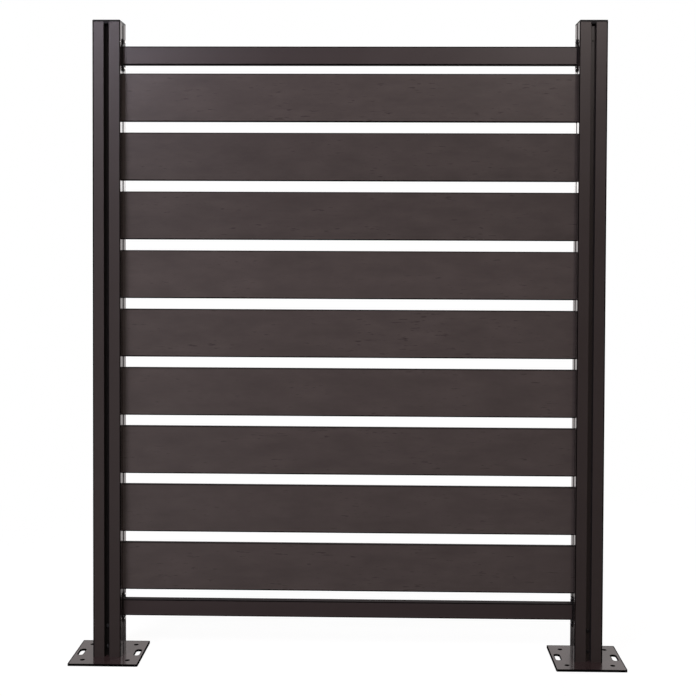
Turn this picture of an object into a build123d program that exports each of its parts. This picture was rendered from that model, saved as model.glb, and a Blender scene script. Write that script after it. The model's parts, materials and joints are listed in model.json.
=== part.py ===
from build123d import *
import os

# Garden privacy screen: two four-groove posts on bolt-down plates, a top and a bottom
# rail on screwed brackets, and nine boards whose ends stand in the posts' inner grooves.
# Millimetres. X runs along the screen, -Y is its front, +Z is up.
# The origin is on the ground, midway between the posts.

os.makedirs("parts", exist_ok=True)

# ---------------------------------------------------------------- base plates
plate_side = 200.0
plate_thk = 6.0
plate_corner_r = 4.0
anchor_hole_d = 11.0
anchor_pitch = 130.0        # centre to centre, both ways
slot_w = 16.0
slot_len = 50.0             # overall, along Y
slot_offset = 82.0          # slot centre line from the post's centre

# ---------------------------------------------------------------------- posts
post_spacing = 1388.0       # centre to centre
post_side = 80.0
post_head = 66.0            # above the top rail
post_wall = 2.2
post_corner_r = 2.5
groove_w = 14.5
groove_d = 17.0
groove_lip = 0.8            # bevel of the groove's front edges

# -------------------------------------------------------------- foot spigots
spigot_wall = 3.0
spigot_len = 94.0
spigot_fit = 0.25           # clearance on each side, inside the post's core
foot_screw_low = 26.0       # lower screw above the plate
foot_screw_inset = 8.0      # upper screw below the spigot's top

# ------------------------------------------------------------------ post caps
cap_thk = 6.0
cap_edge = 1.5              # bevel round the top
cap_leg_len = 14.0
cap_leg_wall = 2.0
cap_tongue_h = 4.5
cap_tongue_thk = 3.0
cap_fit = 0.25

# --------------------------------------------------------------------- boards
board_count = 9
board_h = 139.0
board_thk = 12.5
board_edge = 1.5            # bevel of the four long edges
board_gap = 31.0
board_end_gap = 2.0         # room for the boards to grow, at each groove floor

# ---------------------------------------------------------------------- rails
rail_depth = 26.0
rail_wall = 1.8
rail_edge_r = 2.5
bottom_rail_h = 47.0
top_rail_h = 53.0
bottom_rail_lift = 113.0    # above the plate
bottom_gap = 28.0           # bottom rail to lowest board
top_gap = 24.0              # top board to top rail

# ------------------------------------------------------------------- brackets
bracket_thk = 3.0
bracket_w = 38.0
tab_outer = 22.5            # the tab that points away from the boards
tab_inner = 18.0            # the tab that points towards the boards
tab_w = 22.0
tab_flare = 7.0
tab_end_r = 8.0
tab_screw_inset = 8.0       # screw centre to the tab's end
socket_len = 30.0
socket_wall = 2.5
socket_fit = 0.25

# --------------------------------------------------- groove spacers, packers
spacer_fit = 0.25           # clearance on each side of the groove
spacer_recess = 2.0         # behind the post's face
packer_recess = 0.2

# --------------------------------------------------------------------- screws
screw_d = 5.0
screw_hole_fit = 0.2        # clearance round the shank
screw_grip = 4.0            # shank past the last wall
head_d = 10.5
head_h = 3.6
head_bevel = 1.4

# ------------------------------------------------------------- derived places
post_x = post_spacing / 2
post_bottom = plate_thk
core_side = post_side - 2 * (groove_d + post_wall)
pocket_side = (post_side - groove_w) / 2 - 2 * post_wall
pocket_mid = post_side / 2 - post_wall - pocket_side / 2
clear_span = post_spacing - post_side
floor_offset = post_side / 2 - groove_d

bottom_rail_z = plate_thk + bottom_rail_lift
lowest_board_z = bottom_rail_z + bottom_rail_h + bottom_gap
board_pitch = board_h + board_gap
boards_top = lowest_board_z + board_count * board_h + (board_count - 1) * board_gap
top_rail_z = boards_top + top_gap
post_top = top_rail_z + top_rail_h + post_head

screw_hole_r = screw_d / 2 + screw_hole_fit
top_bracket_top = top_rail_z + top_rail_h + tab_outer
bottom_screws_z = (
    bottom_rail_z - tab_outer + tab_screw_inset,
    bottom_rail_z + bottom_rail_h + tab_inner - tab_screw_inset,
)
top_screws_z = (
    top_rail_z - tab_inner + tab_screw_inset,
    top_bracket_top - tab_screw_inset,
)
foot_screws_z = (
    plate_thk + foot_screw_low,
    plate_thk + spigot_len - foot_screw_inset,
)
sides = {"left": -1, "right": 1}


# -------------------------------------------------------------------- helpers
def save(shape, node):
    shape.label = node
    export_step(shape, f"parts/{node}.step")


def four_bars(width, depth):
    """A bar reaching in from the middle of each face of the post."""
    bar = Pos(0, (post_side - depth) / 2) * Rectangle(width, depth)
    return Sketch() + [Rot(0, 0, 90 * turn) * bar for turn in range(4)]


def drill(x, y, z, axis, length):
    """A screw-hole cutter centred on a point, along X or Y."""
    turn = Rot(0, 90, 0) if axis == "x" else Rot(90, 0, 0)
    return Pos(x, y, z) * turn * Cylinder(screw_hole_r, length)


def screw(length):
    """Pan-head screw in plain facets: seat at z = 0, head up, shank down."""
    head = extrude(RegularPolygon(head_d / 2, 12), head_h)
    head = chamfer(head.faces().sort_by(Axis.Z)[-1].edges(), head_bevel)
    shank = extrude(RegularPolygon(screw_d / 2, 6), -length)
    return head + shank


def facing(x, y, z, towards):
    """Place a screw at its seat with its head towards a direction."""
    turns = {
        "+x": Rot(0, 90, 0),
        "-x": Rot(0, -90, 0),
        "-y": Rot(90, 0, 0),
        "+y": Rot(-90, 0, 0),
    }
    return Pos(x, y, z) * turns[towards]


def rect_tube(width, height, wall, length, edge_r=0.0):
    """Open-ended rectangular tube along Z, its outer edges rounded if a radius is given."""
    ring = RectangleRounded(width, height, edge_r) if edge_r else Rectangle(width, height)
    ring -= Rectangle(width - 2 * wall, height - 2 * wall)
    return extrude(ring, length)


# ---------------------------------------------------------------------- posts
def post_section():
    """Square outline with four blind grooves; one hollow runs round and between them."""
    outline = RectangleRounded(post_side, post_side, post_corner_r) - four_bars(groove_w, groove_d)
    half = post_side / 2
    lips = [
        v for v in outline.vertices()
        if max(abs(v.X), abs(v.Y)) > half - 0.01 and min(abs(v.X), abs(v.Y)) < groove_w / 2 + 0.01
    ]
    outline = chamfer(lips, groove_lip)
    hollow = Rectangle(post_side - 2 * post_wall, post_side - 2 * post_wall)
    hollow -= four_bars(groove_w + 2 * post_wall, groove_d + post_wall)
    return outline - hollow


def make_post(side):
    """One post: foot-screw holes in the front groove's floor, bracket holes in the inner
    groove's floor, and a spare hole at the top of the front one."""
    x = side * post_x
    post = Pos(x, 0, post_bottom) * extrude(post_section(), post_top - post_bottom)
    floor_mid = floor_offset - post_wall / 2
    for z in foot_screws_z + top_screws_z[-1:]:
        post -= drill(x, -floor_mid, z, "y", 2 * post_wall)
    for z in bottom_screws_z + top_screws_z:
        post -= drill(x - side * floor_mid, 0, z, "x", 2 * post_wall)
    return post


# ----------------------------------------------------------------------- feet
def make_plate(side):
    """Square plate with a rectangle of anchor holes and a slot on each side."""
    face = RectangleRounded(plate_side, plate_side, plate_corner_r)
    face -= GridLocations(anchor_pitch, anchor_pitch, 2, 2) * Circle(anchor_hole_d / 2)
    face -= GridLocations(2 * slot_offset, 1, 2, 1) * SlotOverall(slot_len, slot_w, rotation=90)
    return Pos(side * post_x, 0, 0) * extrude(face, plate_thk)


def make_spigot(side):
    """Square stub welded on the plate; the post drops over it. The bottom bracket's
    screws pass its inner wall where they reach it."""
    size = core_side - 2 * spigot_fit
    x = side * post_x
    tube = rect_tube(size, size, spigot_wall, spigot_len)
    tube = Pos(x, 0, plate_thk) * tube
    for z in foot_screws_z:
        tube -= drill(x, -size / 2, z, "y", 3 * spigot_wall)
    for z in bottom_screws_z:
        tube -= drill(x - side * size / 2, 0, z, "x", 3 * spigot_wall)
    return tube


def foot_screws():
    length = post_wall + spigot_fit + spigot_wall + screw_grip
    part = screw(length)
    places = [
        facing(side * post_x, -floor_offset, z, "-y")
        for side in sides.values() for z in foot_screws_z
    ]
    return Compound(children=[place * part for place in places])


# ----------------------------------------------------------------------- caps
def make_cap(side):
    """Flat lid, flush with the post: a tongue in each groove, a hollow square leg in
    each corner pocket."""
    lid = extrude(RectangleRounded(post_side, post_side, post_corner_r), cap_thk)
    lid = chamfer(lid.faces().sort_by(Axis.Z)[-1].edges(), cap_edge)
    tongue_w = groove_w - 2 * cap_fit
    tongue_y = post_side / 2 - groove_lip - cap_tongue_thk / 2
    tongue = Pos(0, tongue_y, -cap_tongue_h / 2) * Box(tongue_w, cap_tongue_thk, cap_tongue_h)
    leg_side = pocket_side - 2 * cap_fit
    leg = rect_tube(leg_side, leg_side, cap_leg_wall, cap_leg_len)
    leg = Pos(pocket_mid, pocket_mid, -cap_leg_len) * leg
    for turn in range(4):
        lid += Rot(0, 0, 90 * turn) * tongue
        lid += Rot(0, 0, 90 * turn) * leg
    return Pos(side * post_x, 0, post_top) * lid


# --------------------------------------------------------------------- boards
def make_board(index):
    """A bevelled bar whose ends stand in the inner grooves. Number 1 is the top one."""
    length = clear_span + 2 * (groove_d - board_end_gap)
    z = boards_top - board_h / 2 - (index - 1) * board_pitch
    section = Rectangle(board_thk, board_h)
    section = chamfer(section.vertices(), board_edge)
    bar = extrude(section, length)
    return Pos(-length / 2, 0, z) * Rot(0, 90, 0) * Rot(0, 0, 90) * bar


def groove_block(side, z_low, z_high, recess):
    """A block that fills the inner groove between two heights."""
    depth = groove_d - recess
    width = groove_w - 2 * spacer_fit
    face_x = post_x - post_side / 2
    x = side * (face_x + recess + depth / 2)
    block = Box(depth, width, z_high - z_low)
    return Pos(x, 0, (z_low + z_high) / 2) * block


def make_spacer(side, index):
    """The spacer under board number index."""
    z_high = boards_top - board_h - (index - 1) * board_pitch
    return groove_block(side, z_high - board_gap, z_high, spacer_recess)


def make_packer(side, z_low, z_high, screw_heights):
    """A long groove block drilled for the bracket screws that pass through it."""
    block = groove_block(side, z_low, z_high, packer_recess)
    for z in screw_heights:
        block -= drill(side * (post_x - post_side / 2), 0, z, "x", 3 * groove_d)
    return block


# ---------------------------------------------------------------------- rails
def make_rail(z_low, height):
    """Rounded tube between the two bracket plates, a screw hole in its rear face near
    each end."""
    length = clear_span - 2 * bracket_thk
    tube = rect_tube(rail_depth, height, rail_wall, length, rail_edge_r)
    rail = Pos(-length / 2, 0, z_low + height / 2) * Rot(0, 90, 0) * Rot(0, 0, 90) * tube
    for side in sides.values():
        x = side * (length / 2 - socket_len / 2)
        rail -= drill(x, rail_depth / 2, z_low + height / 2, "y", 3 * rail_wall)
    return rail


def bracket_outline(height, tab_up, tab_down):
    """Half a bracket plate, mirrored: full width beside the rail, flaring in to each
    round-ended tab."""
    top = height / 2 + tab_up
    bottom = -height / 2 - tab_down
    wide = bracket_w / 2
    slim = tab_w / 2
    side_points = [
        (slim, bottom), (slim, -height / 2 - tab_flare), (wide, -height / 2),
        (wide, height / 2), (slim, height / 2 + tab_flare), (slim, top),
    ]
    points = side_points + [(-y, z) for y, z in reversed(side_points)]
    plate = make_face(Polyline(points, close=True))
    ends = [v for v in plate.vertices() if v.Y > top - 0.01 or v.Y < bottom + 0.01]
    plate = fillet(ends, tab_end_r)
    hole_up = Pos(0, top - tab_screw_inset) * Circle(screw_hole_r)
    hole_down = Pos(0, bottom + tab_screw_inset) * Circle(screw_hole_r)
    return plate - hole_up - hole_down


def make_bracket(side, z_low, height, tab_up, tab_down):
    """Tabbed plate on the post's inner face with a hollow socket inside the rail's end."""
    outline = bracket_outline(height, tab_up, tab_down)
    plate = extrude(outline, bracket_thk)
    inner_w = rail_depth - 2 * rail_wall - 2 * socket_fit
    inner_h = height - 2 * rail_wall - 2 * socket_fit
    socket = rect_tube(inner_w, inner_h, socket_wall, bracket_thk + socket_len)
    bracket = Rot(0, 90, 0) * Rot(0, 0, 90) * (plate + socket)
    bracket = bracket if side < 0 else mirror(bracket, about=Plane.YZ)
    bracket = Pos(side * clear_span / 2, 0, z_low + height / 2) * bracket
    x = side * (clear_span / 2 - bracket_thk - socket_len / 2)
    return bracket - drill(x, rail_depth / 2, z_low + height / 2, "y", rail_depth)


def bracket_screws():
    length = bracket_thk + groove_d + post_wall + screw_grip
    part = screw(length)
    face_x = clear_span / 2 - bracket_thk
    places = [
        facing(side * face_x, 0, z, "+x" if side < 0 else "-x")
        for side in sides.values() for z in bottom_screws_z + top_screws_z
    ]
    return Compound(children=[place * part for place in places])


def rail_screws():
    length = rail_wall + socket_fit + socket_wall + screw_grip
    part = screw(length)
    x = clear_span / 2 - bracket_thk - socket_len / 2
    heights = (bottom_rail_z + bottom_rail_h / 2, top_rail_z + top_rail_h / 2)
    places = [
        facing(side * x, rail_depth / 2, z, "+y") for side in sides.values() for z in heights
    ]
    return Compound(children=[place * part for place in places])


# ------------------------------------------------------------------- assembly
for name, side in sides.items():
    save(make_post(side), f"{name}_post")
    save(make_plate(side), f"{name}_base_plate")
    save(make_spigot(side), f"{name}_foot_spigot")
    save(make_cap(side), f"{name}_post_cap")
    lower = make_packer(side, plate_thk, lowest_board_z, bottom_screws_z)
    save(lower, f"{name}_lower_packer")
    upper = make_packer(side, boards_top, top_bracket_top, top_screws_z)
    save(upper, f"{name}_upper_packer")
    for index in range(1, board_count):
        save(make_spacer(side, index), f"{name}_spacer_{index}")
    low = make_bracket(side, bottom_rail_z, bottom_rail_h, tab_inner, tab_outer)
    save(low, f"bottom_{name}_bracket")
    high = make_bracket(side, top_rail_z, top_rail_h, tab_outer, tab_inner)
    save(high, f"top_{name}_bracket")

save(make_rail(bottom_rail_z, bottom_rail_h), "bottom_rail")
save(make_rail(top_rail_z, top_rail_h), "top_rail")
for index in range(1, board_count + 1):
    save(make_board(index), f"board_{index}")

save(foot_screws(), "foot_screws")
save(bracket_screws(), "bracket_screws")
save(rail_screws(), "rail_screws")
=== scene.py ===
import json
import math

import bpy
import numpy as np
from mathutils import Matrix, Vector


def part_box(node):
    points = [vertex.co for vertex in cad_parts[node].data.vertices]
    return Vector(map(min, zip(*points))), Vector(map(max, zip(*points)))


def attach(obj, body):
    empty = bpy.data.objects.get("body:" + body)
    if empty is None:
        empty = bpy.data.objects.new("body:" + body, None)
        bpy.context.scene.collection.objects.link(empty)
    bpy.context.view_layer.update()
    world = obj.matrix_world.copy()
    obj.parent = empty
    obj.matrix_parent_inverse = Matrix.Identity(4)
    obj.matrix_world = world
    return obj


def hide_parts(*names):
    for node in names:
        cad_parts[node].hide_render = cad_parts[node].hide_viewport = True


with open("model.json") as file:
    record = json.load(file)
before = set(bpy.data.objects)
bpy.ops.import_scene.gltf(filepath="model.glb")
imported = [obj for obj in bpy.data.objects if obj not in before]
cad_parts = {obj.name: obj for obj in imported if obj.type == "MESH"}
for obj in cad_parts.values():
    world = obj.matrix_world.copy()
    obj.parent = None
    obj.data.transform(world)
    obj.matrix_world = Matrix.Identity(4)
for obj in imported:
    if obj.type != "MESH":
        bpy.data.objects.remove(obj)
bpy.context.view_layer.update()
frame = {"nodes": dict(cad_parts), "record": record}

# Garden privacy screen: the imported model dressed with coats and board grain, with real
# screws in place of its plain ones. Metres. X runs along the screen, -Y is its front, +Z is up.

# ------------------------------------------------------------------ places from the frame
sides = {"left": -1, "right": 1}
board_low, board_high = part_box("board_9")
board_h = board_high.z - board_low.z
board_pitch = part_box("board_8")[0].z - board_low.z
bottom_rail_low, bottom_rail_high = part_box("bottom_rail")
top_rail_low, top_rail_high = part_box("top_rail")
post_low, post_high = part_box("right_post")
post_x = (post_low.x + post_high.x) / 2
post_half = post_high.y
plate_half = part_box("right_base_plate")[1].y

# ------------------------------------------------------ sizes that the boxes don't tell
bracket_thk = 0.003
socket_len = 0.030
tab_screw_inset = 0.008
foot_screw_low = 0.026
foot_screw_inset = 0.008
groove_depth = 0.017
anchor_reach = 0.065  # from a post's axis to the holes' centres, along and across
anchor_hole_r = 0.0055
slot_reach = 0.082  # from a post's axis to the slots' middle lines
slot_half = 0.017  # half of a slot's straight stretch
slot_r = 0.008

screw_head_r = 0.00525
screw_head_h = 0.0036
screw_shank_r = 0.0025
bracket_screw_len = 0.0262
foot_screw_len = 0.00945
rail_screw_len = 0.00855


# ------------------------------------------------------------------- shader building kit
class Wire:
    """A value inside a node tree. Arithmetic on it adds the Math nodes that work it out."""

    def __init__(self, build, socket):
        self.build = build
        self.socket = socket

    def __add__(self, other):
        return self.build.math("ADD", self, other)

    def __radd__(self, other):
        return self.build.math("ADD", other, self)

    def __sub__(self, other):
        return self.build.math("SUBTRACT", self, other)

    def __rsub__(self, other):
        return self.build.math("SUBTRACT", other, self)

    def __mul__(self, other):
        return self.build.math("MULTIPLY", self, other)

    def __rmul__(self, other):
        return self.build.math("MULTIPLY", other, self)

    def __truediv__(self, other):
        return self.build.math("DIVIDE", self, other)


class Build:
    """A node tree under construction: one method adds any node, with its settings first."""

    def __init__(self, tree):
        self.tree = tree
        self.tree.nodes.clear()

    def node(self, kind, settings=None, inputs=None, output=0):
        """Add a node, set its settings, fill or link its sockets, and return one output."""
        made = self.tree.nodes.new("ShaderNode" + kind)
        for key, value in (settings or {}).items():
            if key == "stops":
                self.set_stops(made.color_ramp, value)
            else:
                setattr(made, key, value)
        for key, value in (inputs or {}).items():
            self.fill(made.inputs[key], value)
        return Wire(self, made.outputs[output]) if made.outputs else made

    def fill(self, socket, value):
        if isinstance(value, Wire):
            self.tree.links.new(value.socket, socket)
        elif isinstance(value, tuple) and len(value) == 3 and socket.type == "RGBA":
            socket.default_value = (*value, 1.0)
        else:
            socket.default_value = value

    def set_stops(self, ramp, stops):
        """Each stop is (position, grey level)."""
        while len(ramp.elements) > 1:
            ramp.elements.remove(ramp.elements[-1])
        for index, (position, level) in enumerate(stops):
            stop = ramp.elements[0] if index == 0 else ramp.elements.new(position)
            stop.position = position
            stop.color = (level, level, level, 1.0)

    def math(self, operation, a, b=0.0, clamp=False):
        settings = {"operation": operation, "use_clamp": clamp}
        return self.node("Math", settings, {0: a, 1: b})

    def clamped(self, value):
        return self.math("ADD", value, 0.0, clamp=True)

    def rising(self, value, start, slope):
        """0 up to the start and then up to 1, at this slope."""
        return self.clamped((value - start) * slope)

    def unsigned(self, value):
        return self.math("ABSOLUTE", value)

    def larger(self, a, b):
        return self.math("MAXIMUM", a, b)

    def axis(self, vector, letter):
        return self.node("SeparateXYZ", {}, {0: vector}, letter)

    def vector(self, x, y):
        return self.node("CombineXYZ", {}, {"X": x, "Y": y})

    def length(self, vector):
        return self.node("VectorMath", {"operation": "LENGTH"}, {0: vector}, "Value")

    def here(self):
        """Object coordinates in metres."""
        return self.node("TexCoord", output="Object")

    def facing(self, letter):
        """How squarely a face looks along an axis, either way: 1 is square on."""
        normal = self.node("NewGeometry", output="True Normal")
        return self.unsigned(self.axis(normal, letter))

    def noise(self, where, scale, detail, rough):
        """Noise between 0 and 1, centred near one half."""
        inputs = {"Vector": where, "Scale": scale, "Detail": detail, "Roughness": rough}
        return self.node("TexNoise", {"noise_dimensions": "3D"}, inputs, "Fac")

    def grain(self, where, along, across, detail, rough):
        """Noise drawn out along the screen: about so many spots in a metre along it and in
        a metre across it."""
        inputs = {"Vector": where, "Scale": (along, across, across)}
        drawn_out = self.node("Mapping", {"vector_type": "POINT"}, inputs)
        return self.noise(drawn_out, 1.0, detail, rough)

    def ramp(self, value, stops):
        return self.node("ValToRGB", {"stops": stops}, {"Fac": value}, "Color")

    def tint(self, colour, amount):
        """A colour made lighter or darker by a value that is 1 where nothing changes."""
        grey = self.node("CombineColor", {"mode": "RGB"}, {0: amount, 1: amount, 2: amount})
        settings = {"data_type": "RGBA", "blend_type": "MULTIPLY"}
        return self.node("Mix", settings, {0: 1.0, 6: colour, 7: grey}, 2)

    def bump(self, height, strength, distance, under=None):
        inputs = {"Height": height, "Strength": strength, "Distance": distance}
        if under is not None:
            inputs["Normal"] = under
        return self.node("Bump", {}, inputs, "Normal")


def swing(pattern, amount):
    """A pattern centred on one half, as a change of this amount about zero."""
    return (pattern - 0.5) * amount


def new_finish(name):
    material = bpy.data.materials.new(name)
    material.use_nodes = True
    return material, Build(material.node_tree)


def close_finish(build, inputs, painted_shade=None, painted_shade_colour=(0.002, 0.002, 0.002)):
    """End a material in one Principled BSDF with these sockets. Where the mask is 1 it gives way to
    a dull near-black surface: painted shade."""
    shader = build.node("BsdfPrincipled", {}, inputs, "BSDF")
    if painted_shade is not None:
        dull = build.node("BsdfDiffuse", {}, {"Color": painted_shade_colour}, "BSDF")
        shader = build.node("MixShader", {}, {"Fac": painted_shade, 1: shader, 2: dull}, "Shader")
    build.node("OutputMaterial", {}, {"Surface": shader})


# ---------------------------------------------------------- where a coat or grain changes, or shade is painted
crisp = 2000.0  # slope of a mask's edge in a metre: 0 to 1 within half a millimetre
switch = 1000.0  # slope of a mask that only tells two places apart


def from_post_axis(b):
    """How far a point is from the nearer post's axis, along the screen and front to back."""
    here = b.here()
    across = b.unsigned(b.unsigned(b.axis(here, "X")) - post_x)
    return across, b.unsigned(b.axis(here, "Y"))


def groove_painted_shade(b, skin=0.0005, fade=0.0015, above_floor=0.001, cover_slope=0.75):
    """Painted shade in a post's grooves: 0 on the outer skin and 1 on the walls of the grooves,
    going by how deep a point lies below the nearest face. On the grooves' floors it falls from 1 in
    the left post to 0 in the right one, so the left groove's floor is painted dark and the right
    one's is not."""
    across, deep = from_post_axis(b)
    depth = post_half - b.larger(across, deep)
    floor = b.clamped((depth - groove_depth + above_floor) * crisp)
    covered = b.clamped(b.axis(b.here(), "X") * cover_slope + 0.5)
    return b.clamped((depth - skin) / fade) * (1.0 - floor * covered)


def plate_edge_painted_shade(b, rim=0.0030, burr=0.0018, level=0.9, upright_slope=3.0):
    """Painted shade on a plate: 1 on its upright faces, which are its sheared edges and the walls
    of its holes, and on narrow rims all round its top, round each hole (the distance to its centre)
    and round each slot (the distance to its middle line)."""
    upright = (level - b.facing("Z")) * upright_slope
    across, deep = from_post_axis(b)
    outline = (b.larger(across, deep) - plate_half + rim) * crisp
    to_hole = b.vector(across - anchor_reach, deep - anchor_reach)
    to_slot = b.vector(across - slot_reach, b.larger(deep - slot_half, 0.0))
    edge = b.larger(upright, outline)
    for offset, radius in ((to_hole, anchor_hole_r), (to_slot, slot_r)):
        edge = b.larger(edge, (radius + burr - b.length(offset)) * crisp)
    return b.clamped(edge)


def on_level_face(b):
    """1 on faces that lie level. The rails and the boards take painted shade on them."""
    return b.rising(b.facing("Z"), start=0.8, slope=8.0)


def on_flank(b):
    """1 on upright faces that look along the screen: a post's inner and outer sides."""
    return b.rising(b.facing("X"), start=0.9, slope=20.0)


def round_an_edge(b, square=0.99, slope=30.0):
    """1 where the surface turns over an edge, 0 on the flat faces, which are all square to
    the axes: how far the largest part of the normal falls short of one."""
    x, y, z = (b.facing(letter) for letter in "XYZ")
    return b.clamped((square - b.larger(x, b.larger(y, z))) * slope)


def along_edges(b, rise, height, rim, upper):
    """For a lengthwise bar, by the height above its underside: 1 up to the rim above its
    lower edge, and the upper share down to the same rim below its upper one. Its top and
    its underside stay 0."""
    low = b.clamped((rim - rise) * crisp)
    high = b.clamped((rise - height + rim) * crisp)
    return b.larger(low, high * upper) * (1.0 - on_level_face(b))


def rail_edge_painted_shade(b, between_rails=0.9, rim=0.0033, upper=0.9):
    """Painted shade along the two rails' long edges: a dark line at the lower edge and a slightly
    weaker one at the upper edge. A height between the rails tells which of them a point is on."""
    z = b.axis(b.here(), "Z")
    is_top = b.rising(z, between_rails, switch)
    bottom_h = bottom_rail_high.z - bottom_rail_low.z
    top_h = top_rail_high.z - top_rail_low.z
    own_low = is_top * (top_rail_low.z - bottom_rail_low.z) + bottom_rail_low.z
    own_height = is_top * (top_h - bottom_h) + bottom_h
    return along_edges(b, z - own_low, own_height, rim, upper)


def post_corner_painted_shade(b, rim=0.0026, more=0.0014):
    """Painted shade along the four rounded corners of a post: a dark line, a little wider on the
    two that face away from the boards."""
    across, deep = from_post_axis(b)
    outside = b.rising(b.unsigned(b.axis(b.here(), "X")), post_x, switch)
    inset = post_half - b.math("MINIMUM", across, deep)
    return b.clamped((outside * more + rim - inset) * crisp)


# ------------------------------------------------------------------------------ finishes
def powder_coat(
    name, colour, roughness, gloss, peel=1.0, painted_shade_and_dull=None, loss=0.0, sides=0.0, painted_shade=None
):
    """Baked powder coat: fine orange-peel skin, soft clouding in tone and in gloss. A mask of
    painted shade, in hollows or on level faces, takes this share of the coat's tone and makes it
    dull, and a second mask replaces the coat with painted near-black shade. On the flanks it may
    lie smoother."""
    material, b = new_finish(name)
    here = b.here()
    cloud = b.noise(here, scale=5.0, detail=4.0, rough=0.55)
    grit = b.noise(here, scale=900.0, detail=2.0, rough=0.6)
    skin = b.noise(here, scale=420.0, detail=2.0, rough=0.5)
    tone = 1.0 + swing(cloud, 0.16) + swing(grit, 0.20)
    sheen = roughness + swing(cloud, 0.10) + swing(skin, 0.06)
    # Painted shade: where the mask is 1 the coat loses this share of its tone.
    if painted_shade_and_dull is not None:
        share = painted_shade_and_dull(b)
        tone = tone * (1.0 - share * loss)
        sheen = sheen + share * 0.8
    if sides:
        sheen = sheen - on_flank(b) * sides
    fine = b.bump(grit, strength=0.12 * peel, distance=0.0002)
    close_finish(b, {
        "Base Color": b.tint(colour, tone),
        "Roughness": b.clamped(sheen),
        "Specular IOR Level": gloss,
        "Normal": b.bump(skin, strength=0.20 * peel, distance=0.0004, under=fine),
    }, painted_shade(b) if painted_shade else None)
    return material


def board_grain(name, colour, rim=0.0036, upper=0.5, seed=4279.0, usual_own=0.67):
    """Embossed wood-plastic board: faint long grain, sparse short dark nicks and a mottled tone.
    Its bevelled edges, its top and its underside carry painted shade and are dull, and a band along
    its lower edge, half as strong along its upper edge, is painted near-black shade. Each board
    takes its own stretch of the pattern and its own tone by its number, counted up from the lowest."""
    material, b = new_finish(name)
    here = b.here()
    height = b.axis(here, "Z")
    in_gap = 0.01  # numbers change this far below each board
    number = b.math("FLOOR", (height - board_low.z + in_gap) / board_pitch)
    rise = height - board_low.z - number * board_pitch
    own = b.node("TexWhiteNoise", {"noise_dimensions": "1D"}, {"W": number + seed}, "Value")
    shift = b.vector(own * 7.0, number * 0.37)
    where = b.node("VectorMath", {"operation": "ADD"}, {0: here, 1: shift}, "Vector")
    streaks = b.grain(where, along=3.5, across=90.0, detail=3.0, rough=0.55)
    lines = b.grain(where, along=5.0, across=330.0, detail=3.0, rough=0.6)
    mottle = b.grain(where, along=8.0, across=22.0, detail=4.0, rough=0.6)
    nick_cells = b.grain(where, along=30.0, across=250.0, detail=1.5, rough=0.6)
    gathered = b.rising(mottle, start=0.46, slope=9.0)
    nicks = b.ramp(nick_cells, [(0.0, 1.0), (0.29, 1.0), (0.36, 0.0)]) * gathered
    # Painted shade: the rounded edges, the top and the underside lose seven tenths of the tone, and
    # bands along the lower and upper edges give way to painted near-black shade.
    edge = b.larger(round_an_edge(b), on_level_face(b))
    tone = 1.0 + swing(streaks, 0.06) + swing(lines, 0.04) + swing(mottle, 0.60)
    tone = tone + (own - usual_own) * 0.20 - nicks * 0.42
    sheen = 0.26 + swing(lines, 0.04) - nicks * 0.08 + edge * 0.6
    relief = lines * 0.04 + streaks * 0.10 - nicks * 0.15
    close_finish(b, {
        "Base Color": b.tint(colour, tone * (1.0 - edge * 0.7)),
        "Roughness": b.clamped(sheen),
        "Specular IOR Level": 0.35,
        "Normal": b.bump(relief, strength=0.30, distance=0.0005),
    }, along_edges(b, rise, board_h, rim, upper))
    return material


def moulded_plastic(name, colour, roughness, gloss):
    """Injection-moulded black plastic: a fine spark-eroded grain."""
    material, b = new_finish(name)
    here = b.here()
    grain = b.noise(here, scale=1100.0, detail=2.0, rough=0.6)
    cloud = b.noise(here, scale=18.0, detail=3.0, rough=0.5)
    close_finish(b, {
        "Base Color": b.tint(colour, 1.0 + swing(cloud, 0.3)),
        "Roughness": b.clamped(roughness + swing(cloud, 0.12)),
        "Specular IOR Level": gloss,
        "Normal": b.bump(grain, strength=0.25, distance=0.0002),
    })
    return material


def screw_metal(name, colour, metallic, roughness):
    """Rolled screw metal: slight handling marks in gloss and relief."""
    material, b = new_finish(name)
    here = b.here()
    marks = b.noise(here, scale=700.0, detail=3.0, rough=0.6)
    cloud = b.noise(here, scale=90.0, detail=2.0, rough=0.5)
    close_finish(b, {
        "Base Color": b.tint(colour, 1.0 + swing(cloud, 0.12)),
        "Metallic": metallic,
        "Roughness": b.clamped(roughness + swing(marks, 0.2)),
        "Specular IOR Level": 0.5,
        "Normal": b.bump(marks, strength=0.08, distance=0.0002),
    })
    return material


post_bronze = (0.0390, 0.0303, 0.0276)
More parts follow.
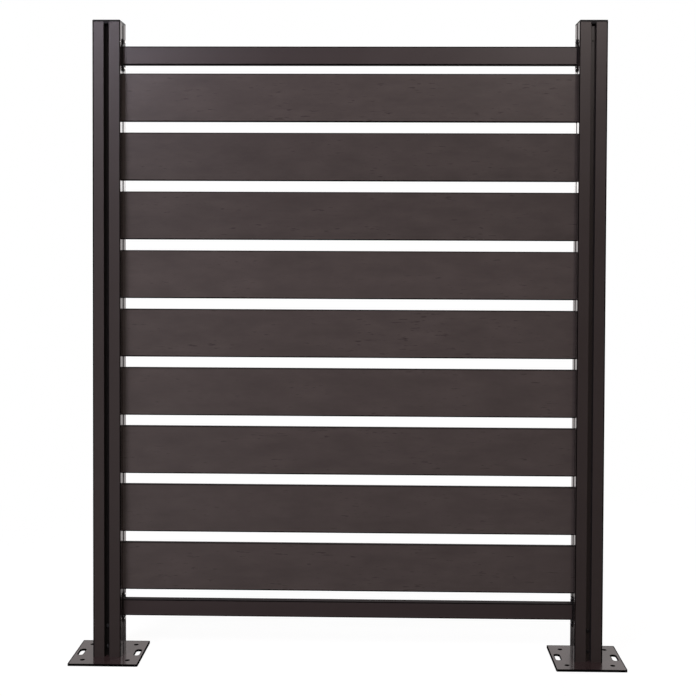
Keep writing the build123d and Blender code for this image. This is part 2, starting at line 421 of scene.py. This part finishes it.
# Painted highlight: the rails' coat is the posts' bronze made about a tenth lighter.
lit_rail_bronze = (0.0431, 0.0327, 0.0309)
plate_bronze = (0.043, 0.028, 0.027)
board_brown = (0.0706, 0.0574, 0.0524)
soft_black = (0.010, 0.009, 0.009)
blacked_steel = (0.016, 0.015, 0.015)
bare_steel = (0.62, 0.61, 0.60)
slot_finish = {
    # Painted shade: the posts' grooves lose most of their tone, and their corners are painted
    # near-black.
    "post_coat": powder_coat(
        "post_coat", post_bronze, roughness=0.34, gloss=0.30,
        painted_shade_and_dull=groove_painted_shade, loss=0.8, sides=0.16, painted_shade=post_corner_painted_shade,
    ),
    # Painted shade: the rails' level faces lose half their tone, and their long edges are painted
    # near-black.
    "rail_coat": powder_coat(
        "rail_coat", lit_rail_bronze, roughness=0.32, gloss=0.33,
        painted_shade_and_dull=on_level_face, loss=0.5, painted_shade=rail_edge_painted_shade,
    ),
    # Painted shade: the plates' edges, the walls of their holes and the rims round their top, holes
    # and slots are near-black.
    "plate_coat": powder_coat(
        "plate_coat", plate_bronze, roughness=0.16, gloss=0.40, peel=0.3, painted_shade=plate_edge_painted_shade
    ),
    "bracket_coat": powder_coat("bracket_coat", soft_black, roughness=0.50, gloss=0.06),
    "board_composite": board_grain("board_composite", board_brown),
    "cap_plastic": moulded_plastic("cap_plastic", soft_black, roughness=0.50, gloss=0.12),
    "groove_plastic": moulded_plastic("groove_plastic", soft_black, roughness=0.60, gloss=0.08),
    "bright_screws": screw_metal("bright_steel", bare_steel, metallic=1.0, roughness=0.28),
    "black_screws": screw_metal("black_steel", blacked_steel, metallic=0.0, roughness=0.30),
}


def dress(piece, slot):
    piece.data.materials.clear()
    piece.data.materials.append(slot_finish[slot])


for part in frame["record"]["subparts"]:
    dress(frame["nodes"][part["node"]], part["material_slot"])


# -------------------------------------------------------------------------------- screws
def screw_profile(length, dome_start=0.42, dome_power=0.80, chamfer=0.0003, row_h=0.00025):
    """A screw's outline from the drive's floor over the head and down to the tip, as rows
    of (radius, height, lobing, threading). The head is a flattened dome: the radius goes
    with the sine and the height with the cosine of one angle, both to a power below 1."""
    dome = np.linspace(dome_start, math.pi / 2, 9)
    side_h = 0.30 * screw_head_h  # upright below the dome
    dome_r = screw_head_r * np.sin(dome) ** dome_power
    dome_h = side_h + (screw_head_h - side_h) * np.cos(dome) ** dome_power
    drive_r = 0.34 * screw_head_r
    drive_shares = [(1.0, 0.42, 1.0), (1.04, 0.90, 1.0), (1.22, 0.965, 0.7)]
    drive = [(r * drive_r, h * screw_head_h, lobing, 0.0) for r, h, lobing in drive_shares]
    head = [(r, h, 0.0, 0.0) for r, h in zip(dome_r, dome_h)]
    under = [(screw_head_r, chamfer, 0.0, 0.0), (screw_head_r - chamfer, 0.0, 0.0, 0.0)]
    neck = [(screw_shank_r * 1.1, 0.0, 0.0, 0.0), (screw_shank_r, -0.0004, 0.0, 0.0)]
    depths = np.linspace(0.0006, length - 0.0012, int(length / row_h))
    shank = [(screw_shank_r, -depth, 0.0, 1.0) for depth in depths]
    tip = [
        (screw_shank_r * 0.72, -length + 0.0004, 0.0, 0.3),
        (screw_shank_r * 0.5, -length, 0.0, 0.0),
    ]
    return np.array(drive + head + under + neck + shank + tip)


def screw_points(length, columns=36, lobes=6, swell=0.14, pitch=0.002, groove=0.20):
    """Carry the outline round the screw's axis. In the drive the radius swells and shrinks
    with the cosine of six times the angle. On the shank it drops between the turns of a
    helix: the drop goes with a cosine of the height over the pitch plus the angle."""
    radius, height, lobing, threading = screw_profile(length).T[:, :, None]
    angle = np.linspace(0.0, 2 * math.pi, columns, endpoint=False)[None, :]
    turns = height / pitch * 2 * math.pi + angle
    lobed = 1.0 + swell * lobing * np.cos(lobes * angle)
    threaded = 1.0 - groove * threading * (0.5 - 0.5 * np.cos(turns)) ** 0.6
    across = radius * lobed * threaded
    level = height + 0.0 * angle
    return np.stack([across * np.cos(angle), across * np.sin(angle), level], axis=-1)


def closed_faces(rows, columns, start):
    """Quads between neighbouring rows, and a fan to a pole before the first row and after
    the last. The poles are the first and the last vertex."""
    column = np.arange(columns)
    after = (column + 1) % columns
    row = np.arange(rows - 1)[:, None] * columns
    quads = np.stack([row + column, row + columns + column, row + columns + after, row + after], -1)
    last = 1 + rows * columns
    head_fan = np.stack([np.zeros_like(column), 1 + column, 1 + after], -1)
    edge = 1 + (rows - 1) * columns
    tip_fan = np.stack([np.full_like(column, last), edge + after, edge + column], -1)
    quads = quads.reshape(-1, 4) + 1 + start
    return quads.tolist() + (head_fan + start).tolist() + (tip_fan + start).tolist()


def make_screws(name, length, seats, slot, node):
    """Real screws for one CAD node. Each seat is the point under the head and the
    direction of the head, and the screw's own axes are turned to it. The poles close the
    drive's floor and the tip."""
    grid = screw_points(length)
    rows, columns = grid.shape[:2]
    floor = [0.0, 0.0, grid[0, 0, 2] - 0.0002]
    tip = [0.0, 0.0, grid[-1, 0, 2]]
    own = np.vstack([[floor], grid.reshape(-1, 3), [tip]])
    vertices, faces = [], []
    for seat, towards in seats:
        ahead = np.array(towards, float)
        up = np.array([0.0, 0.0, 1.0])
        turned = own @ np.array([up, np.cross(ahead, up), ahead]) + np.array(seat)
        faces += closed_faces(rows, columns, len(vertices) * len(own))
        vertices.append(turned)
    mesh = bpy.data.meshes.new(name)
    mesh.from_pydata(np.vstack(vertices).tolist(), [], faces)
    mesh.shade_smooth()
    piece = bpy.data.objects.new(name, mesh)
    bpy.context.scene.collection.objects.link(piece)
    dress(piece, slot)
    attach(piece, "root")
    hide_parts(node)


def bracket_seats():
    """One screw in each bracket tab, its head towards the middle of the screen."""
    seats = []
    for side, sign in sides.items():
        face_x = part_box(f"{side}_post")[0 if sign > 0 else 1].x - sign * bracket_thk
        for place in ("bottom", "top"):
            low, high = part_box(f"{place}_{side}_bracket")
            for z in (low.z + tab_screw_inset, high.z - tab_screw_inset):
                seats.append(((face_x, 0.0, z), (-sign, 0, 0)))
    return seats


def foot_seats():
    """Two screws low in each front groove, through the post into its foot spigot."""
    seats = []
    for side in sides:
        low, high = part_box(f"{side}_post")
        spigot_low, spigot_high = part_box(f"{side}_foot_spigot")
        x = (low.x + high.x) / 2
        for z in (spigot_low.z + foot_screw_low, spigot_high.z - foot_screw_inset):
            seats.append(((x, low.y + groove_depth, z), (0, -1, 0)))
    return seats


def rail_seats():
    """One screw behind each rail end, through the rail into the bracket's socket."""
    seats = []
    for place in ("bottom", "top"):
        low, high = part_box(f"{place}_rail")
        for side, sign in sides.items():
            x = (high.x if sign > 0 else low.x) - sign * socket_len / 2
            seats.append(((x, high.y, (low.z + high.z) / 2), (0, 1, 0)))
    return seats


make_screws(
    "bracket_screw_set", bracket_screw_len, bracket_seats(), "bright_screws", "bracket_screws"
)
make_screws("foot_screw_set", foot_screw_len, foot_seats(), "black_screws", "foot_screws")
make_screws("rail_screw_set", rail_screw_len, rail_seats(), "black_screws", "rail_screws")


# --------------------------------------------------------------------------------- stage
pure_white = (1.0, 1.0, 1.0)


def floor_finish(near=1.1, far=2.4, glow=0.92, shadow_grey=0.16, mid_grey=0.45):
    """Pale floor. To the camera it is white and keeps a faint shadow near the screen, which
    fades into plain white further out. As light it is a mid grey."""
    material, b = new_finish("pale_floor")
    seen = b.node("LightPath", output="Is Camera Ray")
    away = b.clamped((b.length(b.here()) - near) / (far - near))
    white = b.node("Emission", {}, {"Color": pure_white, "Strength": 1.0}, "Emission")
    pale = b.node("Emission", {}, {"Color": pure_white, "Strength": glow}, "Emission")
    matt = b.node("BsdfDiffuse", {}, {"Color": (shadow_grey,) * 3}, "BSDF")
    shaded = b.node("AddShader", {}, {0: matt, 1: pale}, "Shader")
    shown = b.node("MixShader", {}, {"Fac": away, 1: shaded, 2: white}, "Shader")
    plain = b.node("BsdfDiffuse", {}, {"Color": (mid_grey,) * 3}, "BSDF")
    both = b.node("MixShader", {}, {"Fac": seen, 1: plain, 2: shown}, "Shader")
    b.node("OutputMaterial", {}, {"Surface": both})
    return material


def make_floor(reach=9.0, drop=0.0004):
    mesh = bpy.data.meshes.new("floor")
    corners = [(x * reach, y * reach, -drop) for x, y in ((-1, -1), (1, -1), (1, 1), (-1, 1))]
    mesh.from_pydata(corners, [], [(0, 1, 2, 3)])
    floor = bpy.data.objects.new("floor", mesh)
    bpy.context.scene.collection.objects.link(floor)
    mesh.materials.append(floor_finish())
    floor.visible_glossy = False


def set_world(ambient, above, below, fill_colour=(1.0, 0.94, 0.93)):
    """White to the camera. In reflections it is a bright band behind the screen, weaker
    above and dark low down, and dark before it; as light it is a weak even fill. lift is 0
    straight down and 1 straight up."""
    world = bpy.data.worlds.new("studio")
    bpy.context.scene.world = world
    world.use_nodes = True
    b = Build(world.node_tree)
    seen = b.node("LightPath", output="Is Camera Ray")
    mirrored = b.node("LightPath", output="Is Glossy Ray")
    ray = b.node("TexCoord", output="Generated")
    rearward = b.rising(b.axis(ray, "Y"), start=0.2, slope=2.0)
    lift = b.axis(ray, "Z") * 0.5 + 0.5
    band = b.ramp(lift, [(0.345, below), (0.375, 1.0), (0.56, 1.0), (0.62, above)])
    level = seen + (1 - seen) * (mirrored * rearward * band + (1 - mirrored) * ambient)
    settings = {"data_type": "RGBA", "blend_type": "MIX"}
    colour = b.node("Mix", settings, {0: seen, 6: fill_colour, 7: pure_white}, 2)
    sky = b.node("Background", {}, {"Color": colour, "Strength": level}, "Background")
    b.node("OutputWorld", {}, {"Surface": sky})


def area_light(name, spot, target, width, height, power, colour=pure_white):
    """A soft box aimed at a point. The camera doesn't see it."""
    data = bpy.data.lights.new(name, "AREA")
    data.shape = "RECTANGLE"
    data.size = width
    data.size_y = height
    data.energy = power
    data.color = colour
    lamp = bpy.data.objects.new(name, data)
    lamp.visible_camera = False
    lamp.location = spot
    lamp.rotation_euler = (Vector(target) - Vector(spot)).to_track_quat("-Z", "Y").to_euler()
    bpy.context.scene.collection.objects.link(lamp)


def make_camera(spot, yaw, pitch, roll, lens_px, centre_row, frame_px=696, sensor=36.0):
    """yaw turns to the right of +Y, pitch looks down, roll lifts the right side. lens_px
    is the focal length and centre_row the row of the optical axis, both in pixels."""
    data = bpy.data.cameras.new("view_camera")
    data.sensor_width = sensor
    data.lens = sensor * lens_px / frame_px
    data.shift_y = (centre_row - frame_px / 2) / frame_px
    camera = bpy.data.objects.new("view_camera", data)
    turn = Matrix.Rotation(-yaw, 4, "Z") @ Matrix.Rotation(math.pi / 2 - pitch, 4, "X")
    turn = turn @ Matrix.Rotation(roll, 4, "Z")
    camera.matrix_world = Matrix.Translation(spot) @ turn
    bpy.context.scene.collection.objects.link(camera)
    bpy.context.scene.camera = camera


bpy.context.scene.view_settings.view_transform = "Standard"
make_floor()
cool = (1.03, 0.97, 1.12)
warm = (1.08, 0.98, 0.95)
set_world(ambient=0.20, above=0.85, below=0.0)
area_light("key_light", (-2.00, -3.12, 2.95), (0.0, 0.0, 1.0), 1.46, 1.46, 92.0, cool)
area_light("second_light", (1.42, -4.05, 3.31), (0.0, 0.0, 1.0), 0.78, 0.78, 53.0, warm)
area_light("low_light", (-1.84, -2.50, 0.60), (0.0, 0.0, 1.0), 2.50, 2.50, 5.6)
area_light("rear_light", (1.9, 3.4, 2.6), (0.0, 0.0, 0.9), 0.80, 0.80, 60.0)
area_light("rear_panel", (0.08, 3.4, 1.78), (0.08, 0.0, 1.78), 0.90, 0.70, 3.8)
make_camera(
    spot=(0.0726, -3.5009, 1.2514),
    yaw=-0.0211,
    pitch=0.0253,
    roll=0.0039,
    lens_px=1211.7,
    centre_row=258,
)
